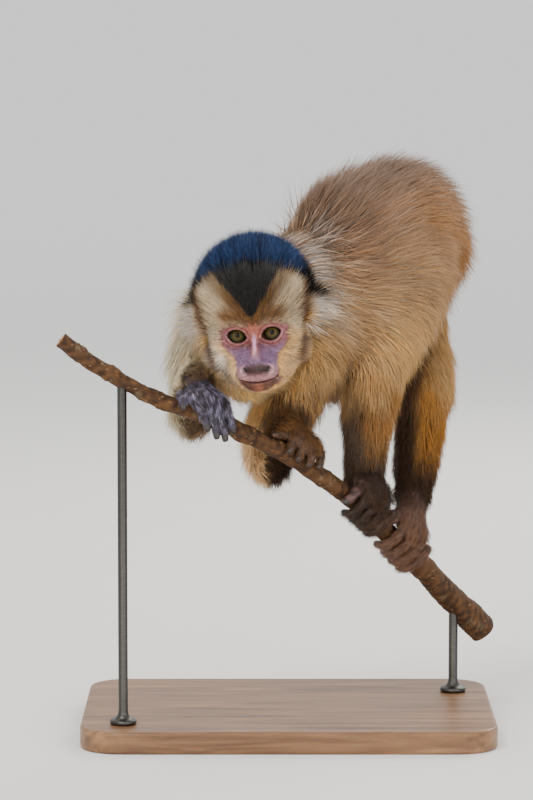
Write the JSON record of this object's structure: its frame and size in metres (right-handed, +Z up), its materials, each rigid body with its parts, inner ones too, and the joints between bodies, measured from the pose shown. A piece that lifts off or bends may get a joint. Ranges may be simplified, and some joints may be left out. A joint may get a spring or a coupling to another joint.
{
  "type": "capuchin monkey",
  "caption": "Young capuchin monkey, life size, crouched head-low along a sloping cut length of branch that it grips with hands and feet, carried by rods above a flat display base.",
  "frame": {"origin": "centre of the flat underside of the display base", "axes": "+Z up, -Y the side the face looks to, +X the way the branch falls"},
  "size_m": [0.2999, 0.2753, 0.3872],
  "materials": {
    "face": "bare pinkish and mauve facial skin under short fine hair",
    "coat_flank": "grey-brown guard hair with golden tips, ochre below",
    "coat_pale": "cream to golden hair",
    "coat_dark": "dark brown to black hair",
    "bare_skin": "dark skin of hands, feet and ears, thinly haired",
    "eye": "wet, clear cornea over an olive-amber iris",
    "nail": "dark horn with a soft shine",
    "bark": "thin brown bark with small pale scars",
    "stand_wood": "satin-oiled board",
    "stand_metal": "satin black rod"
  },
  "bodies": {
    "root": {"head": "face", "neck": "coat_flank", "chest": "coat_flank", "belly": "coat_flank", "rump": "coat_flank", "ear_left": "bare_skin", "ear_right": "bare_skin", "eye_left": "eye", "eye_right": "eye", "upper_arm_left": "coat_pale", "upper_arm_right": "coat_pale", "forearm_left": "coat_dark", "forearm_right": "coat_dark", "thigh_left": "coat_flank", "thigh_right": "coat_flank", "shank_left": "coat_dark", "shank_right": "coat_dark", "hand_left": "bare_skin", "hand_right": "bare_skin", "foot_left": "bare_skin", "foot_right": "bare_skin", "tail_base": "coat_dark", "tail_middle": "coat_dark", "tail_end": "coat_dark", "tail_tip": "coat_dark", "perch": "bark", "stand_base": "stand_wood", "stand_rod_left": "stand_metal", "stand_rod_right": "stand_metal"}
  },
  "joints": []
}
